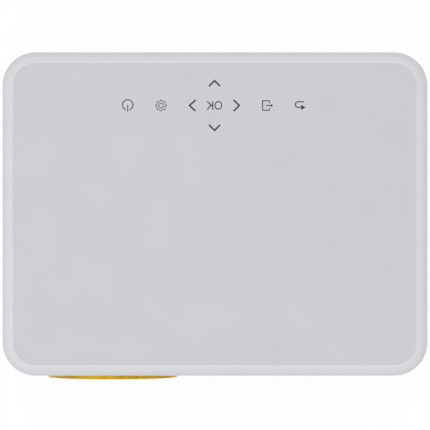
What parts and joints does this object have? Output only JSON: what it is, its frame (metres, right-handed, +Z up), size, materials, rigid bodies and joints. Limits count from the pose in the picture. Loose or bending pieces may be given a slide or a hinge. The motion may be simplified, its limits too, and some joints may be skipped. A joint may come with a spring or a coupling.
{
  "type": "projector with disc player",
  "caption": "Boxy home projector with a soft-edged white case, a gilt lens ring in front, a side-loading disc tray, vents, sockets and a levelling foot.",
  "frame": {"origin": "middle of the object's footprint, on the surface that its feet stand on", "axes": "+Z up, -Y out of the lens, +X towards the side that the disc tray opens from"},
  "size_m": [0.23, 0.1772, 0.0915],
  "materials": {
    "white_shell": "soft satin white",
    "top_plate": "fine satin light grey",
    "gilt_metal": "turned and gilt",
    "grille_plastic": "matte light grey",
    "panel_grey": "matte grey",
    "dark_window": "glossy, lets infrared through",
    "filter_foam": "open foam",
    "black_plastic": "matte black",
    "engine_plastic": "glass filled, dark",
    "clear_optic": "clear",
    "panel_glass": "grey polarised",
    "reflector": "bright",
    "bare_aluminium": "extruded",
    "plated_steel": "zinc plated",
    "polished_steel": "ground",
    "rail_plastic": "slippery natural plastic",
    "paper_cone": "pressed paper",
    "board_green": "solder mask",
    "transformer_tape": "tape over a ferrite core",
    "capacitor_sleeve": "shrunk sleeve",
    "brass_insert": "machined",
    "foot_rubber": "matte"
  },
  "bodies": {
    "case": {"lower_shell": "white_shell", "upper_shell": "white_shell", "top_panel": "top_plate", "touch_board": "board_green", "lens_bezel": "gilt_metal", "front_grille": "grille_plastic", "ir_window": "dark_window", "rear_panel": "panel_grey", "side_grille": "grille_plastic", "dust_filter": "filter_foam", "lens_mount": "engine_plastic", "engine_case": "engine_plastic", "engine_cover": "engine_plastic", "fresnel_front": "clear_optic", "lcd_panel": "panel_glass", "fresnel_rear": "clear_optic", "condenser_lens": "clear_optic", "light_cup": "reflector", "led_module": "bare_aluminium", "heat_sink": "bare_aluminium", "exhaust_fan_frame": "black_plastic", "intake_fan_frame": "black_plastic", "speaker_baskets": "plated_steel", "speaker_cones": "paper_cone", "chassis_bracket": "plated_steel", "main_board": "board_green", "chip_heat_sink": "bare_aluminium", "video_socket": "plated_steel", "data_sockets": "plated_steel", "audio_jacks": "black_plastic", "ac_inlet": "black_plastic", "power_board": "board_green", "power_transformer": "transformer_tape", "power_capacitors": "capacitor_sleeve", "rubber_feet": "foot_rubber", "tripod_insert": "brass_insert", "case_screws": "polished_steel", "board_screws": "polished_steel", "drive_pan": "plated_steel", "drive_lid": "plated_steel", "drive_rails": "rail_plastic"},
    "sliding_rails": {"mid_rails": "plated_steel"},
    "tray": {"disc_tray": "black_plastic", "tray_bezel": "white_shell", "spindle_base": "plated_steel", "pickup_rods": "polished_steel", "sled_motor": "plated_steel"},
    "button": {"eject_button": "white_shell"},
    "hub": {"spindle_hub": "rail_plastic"},
    "pickup": {"pickup_sled": "plated_steel", "pickup_lens": "clear_optic"},
    "feed_screw": {"lead_screw": "polished_steel"},
    "exhaust_blades": {"exhaust_rotor": "black_plastic"},
    "intake_blades": {"intake_rotor": "black_plastic"},
    "focus_wheel": {"focus_ring": "black_plastic"},
    "lens": {"lens_tube": "black_plastic", "lens_glass": "clear_optic"},
    "level_pad": {"foot_pad": "foot_rubber"},
    "level_screw": {"foot_screw": "black_plastic"}
  },
  "joints": [
    {"name": "tray_slide", "type": "slide", "parent": "case", "child": "tray", "axis": [1, 0, 0], "range_m": [0, 0.128]},
    {"name": "rails_slide", "type": "slide", "parent": "case", "child": "sliding_rails", "axis": [1, 0, 0], "range_m": [0, 0.064]},
    {"name": "eject_press", "type": "slide", "parent": "tray", "child": "button", "axis": [-1, 0, 0], "range_m": [0, 0.0008], "stiffness_N_per_m": 800},
    {"name": "spindle_spin", "type": "hinge", "parent": "tray", "child": "hub", "pos_m": [0.0468, 0.00105, 0.025], "axis": [0, 0, 1], "continuous": true},
    {"name": "pickup_slide", "type": "slide", "parent": "tray", "child": "pickup", "axis": [0.766, 0.6428, 0], "range_m": [0, 0.034]},
    {"name": "lead_screw_turn", "type": "hinge", "parent": "tray", "child": "feed_screw", "pos_m": [0.06864, -0.00413, 0.0217], "axis": [0.766, 0.6428, 0], "range_deg": [0, 4080.01]},
    {"name": "exhaust_spin", "type": "hinge", "parent": "case", "child": "exhaust_blades", "pos_m": [-0.0562, 0.07705, 0.0475], "axis": [0, 1, 0], "continuous": true},
    {"name": "intake_spin", "type": "hinge", "parent": "case", "child": "intake_blades", "pos_m": [-0.104, 0.01105, 0.0475], "axis": [1, 0, 0], "continuous": true},
    {"name": "lens_slide", "type": "slide", "parent": "case", "child": "lens", "axis": [0, -1, 0], "range_m": [0, 0.009]},
    {"name": "focus_turn", "type": "hinge", "parent": "case", "child": "focus_wheel", "pos_m": [-0.0562, -0.08, 0.0475], "axis": [0, -1, 0], "range_deg": [0, 270.01]},
    {"name": "level_slide", "type": "slide", "parent": "case", "child": "level_pad", "axis": [0, 0, -1], "range_m": [0, 0.012]},
    {"name": "level_turn", "type": "hinge", "parent": "level_pad", "child": "level_screw", "pos_m": [0, -0.07095, 0.005], "axis": [0, 0, 1], "range_deg": [0, 2160.01]}
  ],
  "couplings": [
    {"joint": "rails_slide", "follows": "tray_slide", "ratio": 0.5},
    {"joint": "lead_screw_turn", "follows": "pickup_slide", "rad_per_m": 2094.4},
    {"joint": "focus_turn", "follows": "lens_slide", "rad_per_m": 523.6},
    {"joint": "level_turn", "follows": "level_slide", "rad_per_m": 3141.6}
  ]
}
